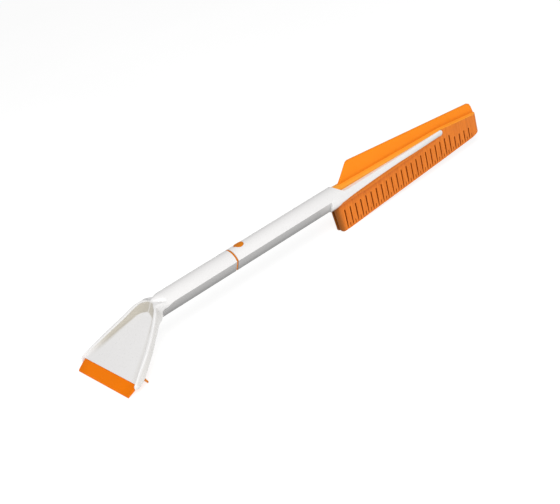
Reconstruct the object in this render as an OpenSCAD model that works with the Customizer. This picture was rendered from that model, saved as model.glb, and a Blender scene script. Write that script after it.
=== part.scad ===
// Snow brush and ice scraper on one straight two-piece handle.
// The tool lies along X: scraper head at -X, bristles and squeegee fin at +X.
// It stands on the scraper blade's edge and on the near end of the bristles, at z = 0.
// A spigot joins the two handles. Pressing the button lets the scraper pull off along -X.
// Everything is drawn from the middle of the coupling ring and moved into place at the end.

/* [Part to show] */
// Which piece to draw, or all of them

/* [Handle] */
// Radius of the rounded upper side of the handle
handle_radius = 13.8; // [13.4:0.1:14.2]
// Height of the parting line between the upper and lower shells above the handle axis
parting_z = 2; // [1:0.25:2.5]
// Wall thickness of the handle shells
wall = 2.2; // [1.8:0.1:2.4]
// Distance from the coupling ring to the bend at the scraper head
scraper_shaft = 110.7; // [108:0.1:118]

/* [Scraper head] */
// How far the head droops below the handle line, in degrees
head_droop = 28.15; // [26:0.05:29]
// Distance from the bend to the blade's front edge
head_length = 97.9; // [97:0.1:99]
// Half the width of the blade's front edge
blade_half_width = 49.4; // [46:0.1:50]
// Thickness of the blade
blade_thick = 2.6; // [2.2:0.1:2.8]
// Thickness of the floor panel in the scoop
panel_thick = 1.8; // [1.6:0.1:2.2]
// Number of ice breaker teeth
breaker_teeth = 15; // [9:2:15]

/* [Coupling] */
// Radius of the spigot that slides into the brush handle
spigot_radius = 5.2; // [5:0.05:5.2]
// How far the spigot reaches into the brush handle
spigot_reach = 60; // [58:0.5:61]
// Radial gap of the running fit between spigot and sleeve
running_gap = 0.08; // [0.05:0.01:0.1]
// Radius of the round end of the release button
button_radius = 6; // [5.6:0.1:6.2]

/* [Brush] */
// Distance from the coupling ring to the far end of the bristles
brush_reach = 420; // [418:0.1:422]
// Height of the squeegee fin's highest corner above the handle axis
fin_top = 33.3; // [30:0.1:34]
// Thickness of the squeegee fin
fin_thick = 2.8; // [2.4:0.1:4]
// Half the thickness of the bristle block
block_half = 6.5; // [6:0.1:6.8]
// Distance between neighbouring long slits in the bristles
slit_pitch = 9.226; // [9.2:0.001:9.226]
// Width of the long slits
slit_width = 2.4; // [1.4:0.1:2.6]

/* [Hidden] */
$fn = 64;

white = [0.93, 0.92, 0.91];
grey = [0.62, 0.61, 0.60];
orange = [1.0, 0.45, 0.05];
dark_orange = [0.88, 0.36, 0.03];
steel = [0.55, 0.56, 0.58];
dark = [0.25, 0.25, 0.27];

big = 200;

// Handle section: an arc on top, two flat flanks and a flat floor below
arc_z = -0.9;
handle_top_z = arc_z + handle_radius;
flank_low_half = 6.6;
flank_low_z = -11.1;
floor_half = 4.6;
floor_z = -12.6;
floor_inner_z = floor_z + wall;
parting_half = sqrt(pow(handle_radius, 2) - pow(parting_z - arc_z, 2));
flank_run = (parting_half - flank_low_half) / (parting_z - flank_low_z);
inner_parting_half = parting_half - wall * sqrt(1 + pow(flank_run, 2));
inner_floor_half = inner_parting_half - (parting_z - floor_inner_z) * flank_run;

// Coupling ring and the gap beside it
ring_back = 1.3;
ring_front = 1.1;
ring_gap = 0.3;
ring_inset = 0.5;
brush_start = ring_front + ring_gap;

// Scraper handle
scraper_hollow_end = 20.7 - scraper_shaft;
bend_z = 2;

// Scraper head, measured along the head (s) and square to it (t) from the bend
head_root_half = 13.8;
rim_root_half = 12;
rim_spread = 42;
rim_span = 82;
rim_power = 0.78;
rim_bead = 1.8;
rim_steps = 14;
head_end = 87;
head_end_half = 52.6;
head_wall = 2.6;
arch_start = -2.5;
arch_length = 9;
front_half = 51.7;
panel_front = 82.4;
flank_s = 20;
flank_half = 22.4;
flank_t = -6;
flank_spread = 0.54;
flank_lean = 21;
under_wall = 3;
under_start = 20;
blade_back = 64;
blade_root_half = 40;
blade_side_s = 80.5;
blade_shoulder = 87;
blade_shoulder_half = 51.4;
blade_bevel = 1.6;
breaker_back = 66;
breaker_front = 75;
breaker_half = 43;
breaker_base = 2.4;
breaker_row_s = 71;
breaker_row_thick = 2.6;
breaker_pitch = 6.5;
breaker_strip_top = -5.95;
breaker_strip_low = -7.2;
breaker_tip = -15;
peg_radius = 2.4;
peg_fit = 0.05;
head_shank = 0.9;
head_shank_top = 0.5;
comb_screw_s = 68.6;
comb_screw_pitch = 19;
rivet_s = 79;
rivet_pitch = 22;

// Screws
shank_radius = 1.2;
screw_fit = 0.05;
screw_head_radius = 2.6;
screw_head_high = 1.6;
recess_radius = 2.8;
recess_deep = 1.8;
boss_radius = 4.0;
boss_top_z = -8.6;
post_radius = 3.0;

// Spigot, sleeve and latch
spigot_z = -1.0;
spigot_top_z = spigot_z + spigot_radius;
sleeve_radius = 7.0;
sleeve_bore = spigot_radius + running_gap;
sleeve_end = 64;
sleeve_flat_z = 5.6;
spigot_block_back = -48;
spigot_block_half = 4.2;
spigot_block_top = 5.0;
tail_end = 80;
tail_half = 4.3;
tail_top = 6.0;
press_travel = 2.0;
leaf_low_z = 3.0;
leaf_thick = 0.6;
leaf_half = 2.4;
pocket_half = 2.9;
pocket_floor_z = 0.5;
pocket_start = 9;
pocket_step = 46;
pocket_end = 56.5;
nub_back = 12;
nub_front = 18.2;
rivet_x = 51;
rivet_radius = 1;
rivet_head_radius = 1.5;
rivet_head_high = 0.3;
bulkhead_xs = [2.2, 40, 58];
bulkhead_thick = 2.4;
button_x = 15.2;
button_tip = 7.8;
button_fit = 0.3;
button_proud = 0.4;
button_lip = 0.6;
stem_low_z = spigot_top_z + press_travel + 0.3;

// Brush head: the spine's flat top and its underside fall towards a round tip
lower_shell_end = 148;
spine_start = 160;
spine_top_z = 5.6;
spine_low_x = 164;
spine_low_z = -10.6;
spine_tip = 352;
tip_radius = 3.6;
tip_x = spine_tip - tip_radius;
tip_z = 0.3;
spine_line_end = 347.5;
spine_end_top_z = 3.9;
spine_end_low_z = -3.3;
slot_half = 4.6;
slot_full_x = 165;
slot_low_top = 3.5;
web_half = 1.9;
root_top_z = 1.2;
core_screw_xs = [181, 229, 277, 325];
core_screw_z = -0.9;

// Foot of the fin: a low roof whose ridge runs down along the spine, then more steeply
nose_x = 175;
nose_radius = 12.4;
nose_half = 12;
foot_mid_x = 190;
foot_mid_half = 11.4;
foot_late_x = 340;
foot_late_half = 7.3;
nose_gap = 0.2;
tongue_start = 165.2;
ridge_x = 168;
ridge_z = 11.4;
ridge_break_z = 5.9;
ridge_end_z = -1.4;
roof_fall = 0.28;
foot_end_half = 6.5;
foot_edge = 2.2;
fin_end = brush_reach - 0.9;

// Bristles
block_left = 156.3;
block_left_z = -12.2;
slit_first = 160.1;
slit_second = 169.3;
slit_count = 26;
slit_point = 2;
short_slit_width = 1.1;
end_radius = 6.6;
end_x = brush_reach - sqrt(pow(end_radius, 2) - pow(web_half, 2));

// Whole tool: where the drawing's origin goes in the finished frame
blade_land = 0.9;
blade_tip_x = -scraper_shaft - head_length * cos(head_droop) + blade_land * sin(head_droop);
block_low_z = bend_z - head_length * sin(head_droop) - blade_thick * cos(head_droop);
shift_x = -(blade_tip_x + brush_reach) / 2;
shift_z = -block_low_z;

// ---- Helpers ----

// Moves a piece drawn from the coupling ring into the finished frame
module placed() {
    translate([shift_x, 0, shift_z])
        children();
}

// Extrudes a YZ section along X
module along_x(from, to) {
    translate([from, 0, 0])
        rotate([90, 0, 90])
            linear_extrude(height = to - from)
                children();
}

// Extrudes an XZ outline along Y between two depths
module along_y(from, to) {
    translate([0, to, 0])
        rotate([90, 0, 0])
            linear_extrude(height = to - from)
                children();
}

// The head's own frame: x runs out along the head, z square to it
module head_frame() {
    translate([-scraper_shaft, 0, bend_z])
        rotate([0, -head_droop, 0])
            mirror([1, 0, 0])
                children();
}

module upright(x, from, to, radius) {
    translate([x, 0, from])
        cylinder(h = to - from, r = radius);
}

// ---- Handle sections ----

module upper_section(inset) {
    intersection() {
        translate([0, arc_z])
            circle(r = handle_radius - inset, $fn = 96);
        translate([-big / 2, parting_z])
            square([big, big]);
    }
}

module lower_section(inset) {
    top_half = parting_half - inset * sqrt(1 + pow(flank_run, 2));
    low_z = floor_z + inset;
    low_half = top_half - (parting_z - low_z) * flank_run;
    polygon([
        [-top_half, parting_z],
        [-min(low_half + (flank_low_z - floor_z) * flank_run, top_half), flank_low_z + inset],
        [-min(floor_half, low_half + 1), low_z],
        [min(floor_half, low_half + 1), low_z],
        [min(low_half + (flank_low_z - floor_z) * flank_run, top_half), flank_low_z + inset],
        [top_half, parting_z]
    ]);
}

module lower_hollow() {
    polygon([
        [-inner_parting_half, parting_z],
        [-inner_floor_half, floor_inner_z],
        [inner_floor_half, floor_inner_z],
        [inner_parting_half, parting_z]
    ]);
}

module upper_half_tube(from, to) {
    difference() {
        along_x(from, to)
            upper_section(0);
        along_x(from - 1, to + 1)
            upper_section(wall);
    }
}

// A post hanging from the inside of an upper shell, with a blind screw hole
module upper_post(x, low_z, hole_top) {
    difference() {
        upright(x, low_z, handle_top_z - wall + 0.3, post_radius);
        upright(x, low_z - 1, hole_top, shank_radius + screw_fit);
    }
}

// The floor of a lower shell round a screw: boss inside, recess outside
module lower_boss(x, top_z) {
    upright(x, floor_z + 0.2, top_z, boss_radius);
}

module lower_boss_hole(x, top_z) {
    upright(x, floor_z - 1, floor_z + recess_deep, recess_radius);
    upright(x, floor_z - 1, top_z + 1, shank_radius + screw_fit);
}

module handle_screw(x, top_z) {
    under_head = floor_z + recess_deep;
    upright(x, under_head - screw_head_high, under_head, screw_head_radius);
    upright(x, under_head, top_z, shank_radius);
}

// ---- Scraper side ----

// Where the lower shell's flank ends in a sweep under the head
module lower_shell_zone() {
    along_y(-big / 2, big / 2)
        polygon([
            [-ring_back, parting_z],
            [20.7 - scraper_shaft, parting_z],
            [12.7 - scraper_shaft, -0.5],
            [6.7 - scraper_shaft, -3.5],
            [2.2 - scraper_shaft, -7.5],
            [-scraper_shaft, floor_z - 1],
            [-ring_back, floor_z - 1]
        ]);
}

// The space that the scraper's lower shell takes up, its hollow included
module lower_shell_solid() {
    intersection() {
        along_x(-scraper_shaft - 1, -ring_back)
            lower_section(0);
        lower_shell_zone();
    }
}

// A smooth step from 0 to 1
function ease(k) = pow(min(max(k, 0), 1), 2) * (3 - 2 * min(max(k, 0), 1));

// Half the head's width outside and inside its rim, at a distance s from the bend
function bead(s) = rim_bead * ease((s + 6) / 12) * (1 - ease((s - 45) / 37));
function rim_half(s) =
    max(head_root_half, rim_root_half + rim_spread * pow(max(s, 0) / rim_span, rim_power)) + bead(s);
function arch_share(s) = sqrt(1 - pow(1 - min((s - arch_start) / arch_length, 1), 2));
function hollow_half(s) = (rim_half(s) - head_wall - 0.8 * bead(s)) * arch_share(s);

module head_plan() {
    sides = [for (i = [0 : rim_steps]) [i * rim_span / rim_steps, rim_half(i * rim_span / rim_steps)]];
    ends = [[head_end - 3, rim_half(head_end - 3)], [head_end, head_end_half]];
    near = concat([[-20, head_root_half]], sides, ends);
    far = [for (i = [len(near) - 1 : -1 : 0]) [near[i][0], -near[i][1]]];
    polygon(concat(near, far));
}

module head_side() {
    along_y(-big / 2, big / 2)
        polygon([
            [-5.14, 9.61],
            [0, 9.5],
            [4, 9.0],
            [9, 8.2],
            [15, 7.4],
            [24, 6.1],
            [37, 5.2],
            [61, 4.5],
            [82, 3.8],
            [85.5, 2.8],
            [87, 0.6],
            [86.4, -2],
            [83.5, -4.2],
            [73, -5.6],
            [31, -6.6],
            [14, -8.8],
            [6.88, -12.87],
            [0.4, -12.0],
            [-6, 0]
        ]);
}

// Cuts the head's flanks so that they lean in towards the underside
module flank_cuts() {
    for (flip = [0, 1])
        mirror([0, flip, 0])
            translate([flank_s, flank_half, flank_t])
                rotate([0, 0, atan(flank_spread)])
                    rotate([-flank_lean, 0, 0])
                        translate([-big / 2, 0, -big / 4])
                            cube([big, big / 2, big / 2]);
}

// Slopes that blend the handle's round top into the wider rim
module shoulder_cuts() {
    for (flip = [0, 1])
        mirror([0, flip, 0])
            translate([-5, 8, 9.6])
                rotate([0, -36.7, 125.9])
                    translate([0, -big / 4, -big / 4])
                        cube([big / 4, big / 2, big / 2]);
}

module head_body() {
    difference() {
        intersection() {
            translate([0, 0, -20])
                linear_extrude(height = 40)
                    head_plan();
            head_side();
        }
        flank_cuts();
        shoulder_cuts();
    }
}

// The hollow of the scoop above its floor panel, and the blade's place between the walls
module scoop_hollow() {
    steps = [-2.2, -1.6, -0.6, 1, 3, arch_start + arch_length, 11, 16, 24, 37, 50, 61, 72, panel_front];
    near = [for (s = steps) [s, min(hollow_half(s), front_half)]];
    far = [for (i = [len(near) - 1 : -1 : 0]) [near[i][0], -near[i][1]]];
    intersection() {
        along_y(-big / 2, big / 2)
            polygon([
                [arch_start, 9.4],
                [0.3, 6.6],
                [5.2, 3.7],
                [12.5, panel_thick],
                [panel_front + 1, panel_thick],
                [panel_front + 1, 20],
                [arch_start, 20]
            ]);
        translate([0, 0, -1])
            linear_extrude(height = 25)
                polygon(concat(near, [[panel_front + 2, front_half], [panel_front + 2, -front_half]], far));
    }
    translate([panel_front, -front_half, -20])
        cube([20, 2 * front_half, 40]);
}

// The hollow under the floor panel
module under_hollow() {
    start_half = flank_half + (under_start - flank_s) * flank_spread - under_wall;
    full_s = under_start + (front_half - start_half) / flank_spread;
    translate([0, 0, -20])
        linear_extrude(height = 20)
            polygon([
                [under_start, -start_half],
                [full_s, -front_half],
                [head_end + 5, -front_half],
                [head_end + 5, front_half],
                [full_s, front_half],
                [under_start, start_half]
            ]);
}

module head_ribs() {
    for (y = [-9, 9])
        translate([under_start - 2, y - 0.8, -5.4])
            cube([blade_back - under_start + 1.5, 1.6, 5.6]);
    for (s = [40, 58])
        translate([s, -(13 + (s - 10) * 0.5), -4.6])
            cube([1.6, 2 * (13 + (s - 10) * 0.5), 4.8]);
}

module fastener_rows(s, pitch, count) {
    for (i = [0 : count - 1])
        translate([s, (i - (count - 1) / 2) * pitch, 0])
            children();
}

// Upright cylinders at the comb screws and the rivets
module fastener_columns(from, to, radius) {
    fastener_rows(comb_screw_s, comb_screw_pitch, 4)
        translate([0, 0, from])
            cylinder(h = to - from, r = radius);
    fastener_rows(rivet_s, rivet_pitch, 4)
        translate([0, 0, from])
            cylinder(h = to - from, r = radius);
}

module scraper_upper_shell() {
    color(white)
        placed()
            difference() {
                union() {
                    upper_half_tube(scraper_hollow_end - 1, -ring_back);
                    upper_post(-80, -1, 6);
                    upper_post(-36, spigot_block_top, 8);
                    upper_post(-14, spigot_block_top, 8);
                    difference() {
                        union() {
                            along_x(-scraper_shaft, scraper_hollow_end)
                                upper_section(0);
                            along_x(-scraper_shaft, scraper_hollow_end)
                                lower_section(0);
                            head_frame()
                                head_body();
                        }
                        lower_shell_solid();
                        head_frame() {
                            scoop_hollow();
                            under_hollow();
                        }
                    }
                    head_frame() {
                        head_ribs();
                        fastener_columns(-blade_thick, 0.2, peg_radius);
                    }
                }
                head_frame()
                    fastener_columns(-blade_thick - 1, head_shank_top + 0.1, head_shank + screw_fit);
            }
}

module scraper_lower_shell() {
    color(grey)
        placed()
            difference() {
                union() {
                    difference() {
                        lower_shell_solid();
                        along_x(scraper_hollow_end, 0)
                            lower_hollow();
                    }
                    lower_boss(-80, -1);
                    lower_boss(-36, boss_top_z);
                    lower_boss(-14, boss_top_z);
                }
                lower_boss_hole(-80, -1);
                lower_boss_hole(-36, boss_top_z);
                lower_boss_hole(-14, boss_top_z);
            }
}

module scraper_handle_screws() {
    color(steel)
        placed() {
            handle_screw(-80, 6);
            handle_screw(-36, 8);
            handle_screw(-14, 8);
        }
}

module scraper_blade() {
    near = [
        [blade_back, blade_root_half],
        [blade_side_s, blade_shoulder_half - 0.4],
        [blade_shoulder, blade_shoulder_half],
        [head_length, blade_half_width]
    ];
    far = [for (i = [len(near) - 1 : -1 : 0]) [near[i][0], -near[i][1]]];
    color(dark_orange)
        placed()
            head_frame()
                difference() {
                    intersection() {
                        translate([0, 0, -blade_thick])
                            linear_extrude(height = blade_thick)
                                polygon(concat(near, far));
                        along_y(-big / 2, big / 2)
                            polygon([
                                [blade_back, -blade_thick],
                                [head_length, -blade_thick],
                                [head_length, -blade_land],
                                [head_length - blade_bevel, 0],
                                [blade_back, 0]
                            ]);
                    }
                    fastener_columns(-blade_thick - 1, 1, peg_radius + peg_fit);
                }
}

// A bar under the blade with a row of long downward teeth
module ice_breaker_comb() {
    span = breaker_teeth * breaker_pitch;
    color(orange)
        placed()
            head_frame()
                difference() {
                    union() {
                        translate([breaker_back, -breaker_half, -blade_thick - breaker_base])
                            cube([breaker_front - breaker_back, 2 * breaker_half, breaker_base]);
                        translate([breaker_row_s, -breaker_half, breaker_strip_low])
                            cube([breaker_row_thick, 2 * breaker_half,
                                  -blade_thick - breaker_strip_low - 0.5]);
                        translate([breaker_row_s, 0, 0])
                            rotate([90, 0, 90])
                                linear_extrude(height = breaker_row_thick)
                                    for (i = [0 : breaker_teeth - 1])
                                        translate([-span / 2 + (i + 0.5) * breaker_pitch, 0])
                                            breaker_tooth();
                    }
                    fastener_rows(comb_screw_s, comb_screw_pitch, 4)
                        translate([0, 0, -blade_thick - breaker_base - 1])
                            cylinder(h = breaker_base + 2, r = head_shank + screw_fit);
                }
}

module breaker_tooth() {
    base = breaker_pitch / 2;
    polygon([
        [-base - 0.02, breaker_strip_top],
        [-base - 0.02, breaker_strip_top - 0.7],
        [-0.9, breaker_tip + 0.5],
        [-0.4, breaker_tip],
        [0.4, breaker_tip],
        [0.9, breaker_tip + 0.5],
        [base + 0.02, breaker_strip_top - 0.7],
        [base + 0.02, breaker_strip_top]
    ]);
}

module head_fastener(grip, head_radius, head_high) {
    translate([0, 0, -blade_thick - grip])
        cylinder(h = grip + blade_thick + head_shank_top, r = head_shank);
    translate([0, 0, -blade_thick - grip - head_high])
        cylinder(h = head_high, r = head_radius);
}

module comb_screws() {
    color(steel)
        placed()
            head_frame()
                fastener_rows(comb_screw_s, comb_screw_pitch, 4)
                    head_fastener(breaker_base, 1.9, 1.0);
}

module blade_rivets() {
    color(steel)
        placed()
            head_frame()
                fastener_rows(rivet_s, rivet_pitch, 4)
                    head_fastener(0, 3.0, 0.8);
}

// Rod, block in the scraper handle and the ring that shows between the handles
module coupling_spigot() {
    color(orange)
        placed()
            difference() {
                union() {
                    along_x(-ring_back, ring_front) {
                        upper_section(ring_inset);
                        lower_section(ring_inset);
                    }
                    along_x(0, spigot_reach - 1.5)
                        translate([0, spigot_z])
                            circle(r = spigot_radius);
                    along_x(spigot_reach - 2, spigot_reach)
                        translate([0, spigot_z])
                            circle(r = spigot_radius - 1);
                    translate([spigot_block_back, -spigot_block_half, boss_top_z])
                        cube([-spigot_block_back - 0.5, 2 * spigot_block_half,
                              spigot_block_top - boss_top_z]);
                }
                translate([pocket_start, -pocket_half, pocket_floor_z])
                    cube([pocket_step - pocket_start, 2 * pocket_half, 10]);
                translate([pocket_step - 0.1, -pocket_half, leaf_low_z])
                    cube([pocket_end - pocket_step + 0.1, 2 * pocket_half, 10]);
                upright(rivet_x, -4, 5, rivet_radius + screw_fit);
                upright(-36, -20, 20, shank_radius + screw_fit);
                upright(-14, -20, 20, shank_radius + screw_fit);
            }
}

// Flat spring with the catch that stands through the sleeve's window
module latch_spring() {
    color(steel)
        placed()
            difference() {
                union() {
                    translate([nub_back, -leaf_half, leaf_low_z])
                        cube([pocket_end - 0.5 - nub_back, 2 * leaf_half, leaf_thick]);
                    along_y(-leaf_half, leaf_half)
                        polygon([
                            [nub_back, leaf_low_z],
                            [nub_front, leaf_low_z],
                            [nub_front, spigot_top_z],
                            [nub_back + 2.6, spigot_top_z + press_travel],
                            [nub_back, spigot_top_z + press_travel]
                        ]);
                }
                upright(rivet_x, -4, 5, rivet_radius + screw_fit);
            }
}

module latch_rivet() {
    leaf_top_z = leaf_low_z + leaf_thick;
    color(steel)
        placed() {
            upright(rivet_x, -3.5, leaf_top_z, rivet_radius);
            upright(rivet_x, leaf_top_z, leaf_top_z + rivet_head_high, rivet_head_radius);
        }
}

// ---- Release button ----

// Upright prism in the button's outline: a round end and a tip towards the scraper
module teardrop(grow, from, to) {
    full = (button_radius + grow) / button_radius;
    reach = button_tip * full;
    side = 0.76 * button_tip * full;
    upright(button_x, from, to, button_radius * full);
    translate([0, 0, from])
        linear_extrude(height = to - from)
            polygon([
                [button_x - reach, 0],
                [button_x - reach + side * cos(40), -side * sin(40)],
                [button_x - reach + side * cos(40), side * sin(40)]
            ]);
}

module release_button() {
    color(orange)
        placed() {
            intersection() {
                teardrop(-button_fit, 7.9, 15);
                along_x(0, 40)
                    translate([0, arc_z])
                        circle(r = handle_radius + button_proud, $fn = 96);
            }
            intersection() {
                teardrop(button_lip, 7.9, 9.9);
                along_x(0, 40)
                    translate([0, arc_z])
                        circle(r = handle_radius - wall - 0.3, $fn = 96);
            }
            translate([12.4, -2.3, stem_low_z])
                cube([5.6, 4.6, 8.2 - stem_low_z]);
        }
}

// ---- Brush side ----

// Narrowing outline of the spine, seen from above
module spine_plan() {
    polygon([
        [lower_shell_end - 2, -handle_radius],
        [spine_start, -handle_radius],
        [190, -11.6],
        [spine_tip, -7.2],
        [spine_tip + 2, -7.2],
        [spine_tip + 2, 7.2],
        [spine_tip, 7.2],
        [190, 11.6],
        [spine_start, handle_radius],
        [lower_shell_end - 2, handle_radius]
    ]);
}

// Points round the spine's tip, seen from the side
function tip_arc(grow, from, to) =
    [for (i = [0 : 12])
        [tip_x + (tip_radius + grow) * cos(from + i * (to - from) / 12),
         tip_z + (tip_radius + grow) * sin(from + i * (to - from) / 12)]];

module spine_side() {
    along_y(-big / 2, big / 2)
        polygon(concat(
            [[nose_x, spine_top_z - 0.12], [nose_x, 20], [lower_shell_end, 20], [lower_shell_end, floor_z],
             [block_left, block_left_z], [spine_low_x, spine_low_z], [spine_line_end, spine_end_low_z]],
            tip_arc(0, -78, 78),
            [[spine_line_end, spine_end_top_z]]
        ));
}

module round_body(from, to) {
    along_x(from, to)
        translate([0, arc_z])
            circle(r = handle_radius, $fn = 96);
}

module brush_upper_shell() {
    color(white)
        placed()
            difference() {
                union() {
                    upper_half_tube(brush_start, lower_shell_end);
                    intersection() {
                        round_body(lower_shell_end - 0.5, spine_tip + 2);
                        translate([0, 0, -30])
                            linear_extrude(height = 60)
                                spine_plan();
                        spine_side();
                    }
                    upper_post(72, tail_top, 8);
                    upper_post(125, -1, 6);
                }
                // Round pocket for the nose of the fin's foot
                upright(nose_x, spine_top_z, 20, nose_radius + nose_gap);
                // Slot for the core plate, the comb roots and the fin's tongue
                along_y(-slot_half, slot_half)
                    polygon([
                        [spine_start, -30],
                        [spine_start, slot_low_top],
                        [slot_full_x, slot_low_top],
                        [slot_full_x, 30],
                        [spine_tip + 10, 30],
                        [spine_tip + 10, -30]
                    ]);
                // Hole for the release button
                teardrop(0, 8, 18);
                // Screw holes, open on the far side and blind on the near side
                for (x = core_screw_xs)
                    core_screw_hole(x);
            }
}

function spine_half(x) = x < 190 ? 13.8 - (x - 160) * 2.2 / 30 : 11.6 - (x - 190) * 4.4 / 162;

module core_screw_hole(x) {
    reach = spine_half(x) - 1.4;
    translate([x, -reach, core_screw_z])
        rotate([-90, 0, 0])
            cylinder(h = reach + 20, r = shank_radius + screw_fit);
    translate([x, spine_half(x) - 2.0, core_screw_z])
        rotate([-90, 0, 0])
            cylinder(h = 20, r = recess_radius);
}

module core_screws() {
    color(steel)
        placed()
            for (x = core_screw_xs) {
                reach = spine_half(x) - 1.6;
                translate([x, -reach, core_screw_z])
                    rotate([-90, 0, 0])
                        cylinder(h = reach + spine_half(x) - 1.9, r = shank_radius);
                translate([x, spine_half(x) - 2.0, core_screw_z])
                    rotate([-90, 0, 0])
                        cylinder(h = 1.4, r = screw_head_radius);
            }
}

module brush_lower_shell() {
    color(grey)
        placed()
            difference() {
                union() {
                    difference() {
                        along_x(brush_start, lower_shell_end)
                            lower_section(0);
                        along_x(0, lower_shell_end - 2)
                            lower_hollow();
                    }
                    lower_boss(30, boss_top_z);
                    lower_boss(72, boss_top_z);
                    lower_boss(125, -1);
                }
                lower_boss_hole(30, boss_top_z);
                lower_boss_hole(72, boss_top_z);
                lower_boss_hole(125, -1);
            }
}

module brush_handle_screws() {
    color(steel)
        placed() {
            handle_screw(30, -6.9);
            handle_screw(72, 8);
            handle_screw(125, 6);
        }
}

// Tube that takes the spigot, carried on bulkheads inside the brush handle
module socket_sleeve() {
    color(dark)
        placed()
            difference() {
                union() {
                    along_x(1.6, sleeve_end)
                        translate([0, spigot_z])
                            circle(r = sleeve_radius);
                    for (x = bulkhead_xs)
                        along_x(x, x + bulkhead_thick) {
                            upper_section(wall + 0.05);
                            intersection() {
                                lower_section(wall);
                                lower_hollow();
                            }
                        }
                    translate([sleeve_end - 1, -tail_half, boss_top_z])
                        cube([tail_end - sleeve_end + 1, 2 * tail_half, tail_top - boss_top_z]);
                    upright(30, boss_top_z, -7, 3.5);
                }
                along_x(0, sleeve_end - 2)
                    translate([0, spigot_z])
                        circle(r = sleeve_bore);
                translate([5.5, -10, sleeve_flat_z])
                    cube([20, 20, 10]);
                translate([nub_back - 0.3, -pocket_half, 0])
                    cube([nub_front - nub_back + 0.8, 2 * pocket_half, 10]);
                upright(30, -20, -6.7, shank_radius + screw_fit);
                upright(72, -20, 20, shank_radius + screw_fit);
            }
}

// One stretch of the foot's roof, its ridge falling from one point to the other
module roof(from_x, from_z, to_x, to_z, before) {
    length = sqrt(pow(to_x - from_x, 2) + pow(to_z - from_z, 2));
    reach = 15;
    translate([from_x, 0, from_z])
        rotate([0, atan((from_z - to_z) / (to_x - from_x)), 0])
            along_x(-before, length)
                polygon([
                    [-reach, -reach * roof_fall],
                    [0, 0],
                    [reach, -reach * roof_fall],
                    [reach, -reach],
                    [-reach, -reach]
                ]);
}

// The foot where it lies on the spine
module spine_foot() {
    intersection() {
        roof(ridge_x, ridge_z, spine_tip, ridge_break_z, 12);
        translate([0, 0, -30])
            linear_extrude(height = 60)
                intersection() {
                    polygon([
                        [nose_x - nose_radius - 1, -nose_half],
                        [nose_x, -nose_half],
                        [foot_mid_x, -foot_mid_half],
                        [foot_late_x, -foot_late_half],
                        [spine_tip, -foot_end_half],
                        [spine_tip, foot_end_half],
                        [foot_late_x, foot_late_half],
                        [foot_mid_x, foot_mid_half],
                        [nose_x, nose_half],
                        [nose_x - nose_radius - 1, nose_half]
                    ]);
                    union() {
                        translate([nose_x, 0])
                            circle(r = nose_radius, $fn = 96);
                        translate([nose_x, -20])
                            square([big, 40]);
                    }
                }
        along_y(-big / 2, big / 2)
            polygon([
                [nose_x - nose_radius - 1, spine_top_z],
                [nose_x, spine_top_z],
                [spine_line_end, spine_end_top_z + 0.05],
                [tip_x + 0.7, spine_end_top_z + 0.05],
                [spine_tip, ridge_break_z - foot_edge],
                [spine_tip, 20],
                [nose_x - nose_radius - 1, 20]
            ]);
    }
}

// Round end of the bristle block and of the foot on it, seen from above
module round_end() {
    translate([0, 0, -60])
        linear_extrude(height = 80)
            union() {
                translate([end_x, 0])
                    circle(r = end_radius);
                translate([end_x - big - 80, -20])
                    square([big + 80, 40]);
            }
}

// The foot where it lies on the bristle block alone, past the spine's tip
module end_foot() {
    intersection() {
        roof(spine_tip, ridge_break_z, fin_end, ridge_end_z, 2);
        round_end();
        along_y(-foot_end_half, foot_end_half)
            polygon([
                [spine_tip - 0.5, ridge_break_z - foot_edge],
                [spine_tip, ridge_break_z - foot_edge],
                [fin_end, ridge_end_z - foot_edge],
                [fin_end, 20],
                [spine_tip - 0.5, 20]
            ]);
    }
}

module squeegee_fin() {
    color(orange)
        placed() {
            // Blade of the fin
            along_y(-fin_thick / 2, fin_thick / 2)
                polygon([
                    [171, 9],
                    [174.2, 12.1],
                    [190.4, fin_top - 2.6],
                    [192.6, fin_top - 0.6],
                    [196, fin_top],
                    [304.9, fin_top - 10.1],
                    [brush_reach - 9.6, fin_top - 19.9],
                    [brush_reach - 5.4, fin_top - 22],
                    [brush_reach - 3.1, fin_top - 26.2],
                    [fin_end, -1.8],
                    [fin_end, -3],
                    [spine_tip, 4.6]
                ]);
            spine_foot();
            end_foot();
            // Tongue that goes down between the two sides of the spine
            along_y(-slot_half + 0.1, slot_half - 0.1)
                polygon([
                    [tongue_start, root_top_z + 0.3],
                    [tongue_start, 8.8],
                    [tip_x + 0.9, 4.2],
                    [tip_x + 0.9, root_top_z + 0.3]
                ]);
        }
}

module brush_core() {
    color(dark)
        placed()
            difference() {
                along_y(-web_half, web_half)
                    polygon([
                        [spine_start + 2, root_top_z],
                        [spine_tip + 58, root_top_z],
                        [spine_tip + 58, -8],
                        [350, -12],
                        [185, -22],
                        [spine_start + 2, -22]
                    ]);
                along_y(-10, 10)
                    polygon([
                        [spine_tip, root_top_z + 1],
                        [spine_tip, 3.3],
                        [brush_reach, -4.2],
                        [brush_reach, 10]
                    ]);
                for (x = core_screw_xs)
                    translate([x, 0, core_screw_z])
                        rotate([90, 0, 0])
                            cylinder(h = 20, r = shank_radius + screw_fit, center = true);
            }
}

function slit_top_z(x) = x < 185 ? -19.6 : (x > 368 ? -15.2 : -19.6 + (x - 185) * 0.061);
function block_low(x) = x < 172 ? block_low_z
    : x < 224.5 ? block_low_z + (x - 172) * 4.08 / 52.5
    : x < 339 ? -42.4 + (x - 224.5) * 6.8 / 114.5
    : -35.6 + (x - 339) * 4.4 / 73;

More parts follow.
